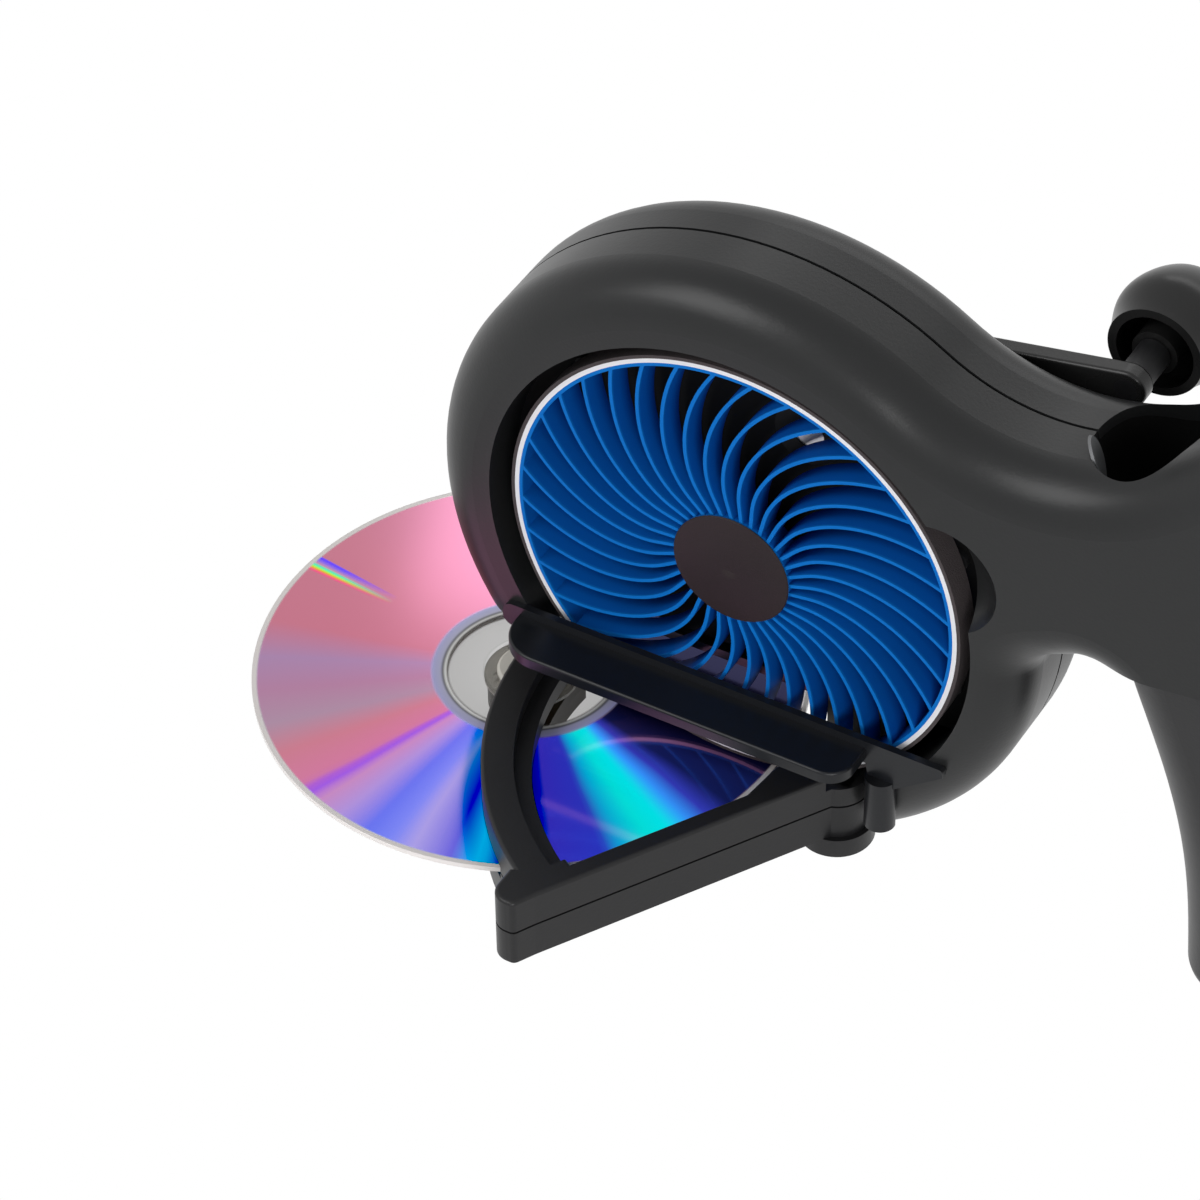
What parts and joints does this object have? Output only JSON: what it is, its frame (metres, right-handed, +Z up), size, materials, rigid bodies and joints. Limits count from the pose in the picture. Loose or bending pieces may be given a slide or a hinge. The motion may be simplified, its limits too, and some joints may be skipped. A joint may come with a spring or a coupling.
{
  "type": "disc repair machine",
  "caption": "hand-cranked machine that resurfaces an optical disc: upright abrasive wheel over a swinging disc tray, crank behind, grip at one side",
  "frame": {"origin": "centre of the grip foot, on the surface that the machine stands on", "axes": "+X to the grip side (the user's right), +Y away from the user, +Z up"},
  "size_m": [0.2421, 0.138, 0.1465],
  "materials": {
    "shell_black": "satin, fine grain",
    "guard_black": "satin",
    "grip_black": "satin",
    "tray_black": "satin",
    "wheel_blue": "matte cobalt blue",
    "wheel_white": "soft white ring",
    "abrasive": "fine dark grit",
    "cap_black": "matte",
    "pale_plastic": "smooth",
    "socket_black": "smooth",
    "badge_plate": "plain",
    "gear_white": "moulded acetal",
    "steel": "turned",
    "black_steel": "blackened",
    "black_bush": "moulded acetal, black",
    "bush_bronze": "sintered",
    "plate_grey": "pressed sheet",
    "belt_rubber": "smooth",
    "tyre_rubber": "ground",
    "knob_black": "satin",
    "disc_clear": "polycarbonate with a mirror layer"
  },
  "bodies": {
    "housing": {"front_shell": "shell_black", "rear_shell": "shell_black", "wheel_guard": "guard_black", "grip_sleeve": "grip_black", "bottle_socket": "socket_black", "socket_badge": "badge_plate", "chassis_plate": "plate_grey", "chassis_screws": "black_steel", "shell_screws": "steel", "wheel_bush": "black_bush", "rear_wheel_bush": "bush_bronze", "crank_bush": "black_bush", "rear_crank_bush": "bush_bronze", "feed_bracket": "pale_plastic", "feed_screws": "black_steel", "feed_bushes": "bush_bronze", "feed_belt": "belt_rubber", "hinge_pin": "steel", "hinge_clip": "steel"},
    "wheel": {"wheel_core": "wheel_blue", "wheel_backing": "wheel_white", "abrasive_band": "abrasive", "hub_cap": "cap_black", "wheel_axle": "steel", "hub_screw": "steel", "drive_pulley": "gear_white", "wheel_pinion": "gear_white"},
    "crank": {"crank_gear": "gear_white", "crank_axle": "steel", "crank_screw": "steel", "crank_arm": "knob_black", "knob_pin": "black_steel"},
    "knob": {"crank_knob": "knob_black"},
    "feed": {"feed_axle": "steel", "feed_pulley": "gear_white", "feed_roller": "gear_white", "feed_tyre": "tyre_rubber"},
    "tray": {"tray_upper": "tray_black", "tray_lower": "tray_black", "tray_screws": "steel", "tray_bush": "bush_bronze", "turntable_bush": "bush_bronze"},
    "turntable": {"turntable": "pale_plastic", "turntable_screw": "steel", "disc": "disc_clear"}
  },
  "joints": [
    {"name": "wheel_spin", "type": "hinge", "parent": "housing", "child": "wheel", "pos_m": [-0.1168, 0.00132, 0.0716], "axis": [0, -1, 0], "continuous": true},
    {"name": "crank_turn", "type": "hinge", "parent": "housing", "child": "crank", "pos_m": [-0.1038, 0.00132, 0.10731], "axis": [0, -1, 0], "continuous": true},
    {"name": "feed_spin", "type": "hinge", "parent": "housing", "child": "feed", "pos_m": [-0.1665, 0.00132, 0.0276], "axis": [0, -1, 0], "continuous": true},
    {"name": "knob_spin", "type": "hinge", "parent": "crank", "child": "knob", "pos_m": [-0.0487, 0.03545, 0.12023], "axis": [0, -1, 0], "continuous": true},
    {"name": "tray_swing", "type": "hinge", "parent": "housing", "child": "tray", "pos_m": [-0.093, -0.01305, 0.014], "axis": [0, 0, 1], "range_deg": [0, 55]},
    {"name": "disc_spin", "type": "hinge", "parent": "tray", "child": "turntable", "pos_m": [-0.1665, -0.01455, 0.014], "axis": [0, 0, 1], "continuous": true}
  ],
  "couplings": [
    {"joint": "crank_turn", "follows": "wheel_spin", "ratio": -0.33333},
    {"joint": "feed_spin", "follows": "wheel_spin", "ratio": 0.5},
    {"joint": "disc_spin", "follows": "wheel_spin", "ratio": -0.25151}
  ]
}
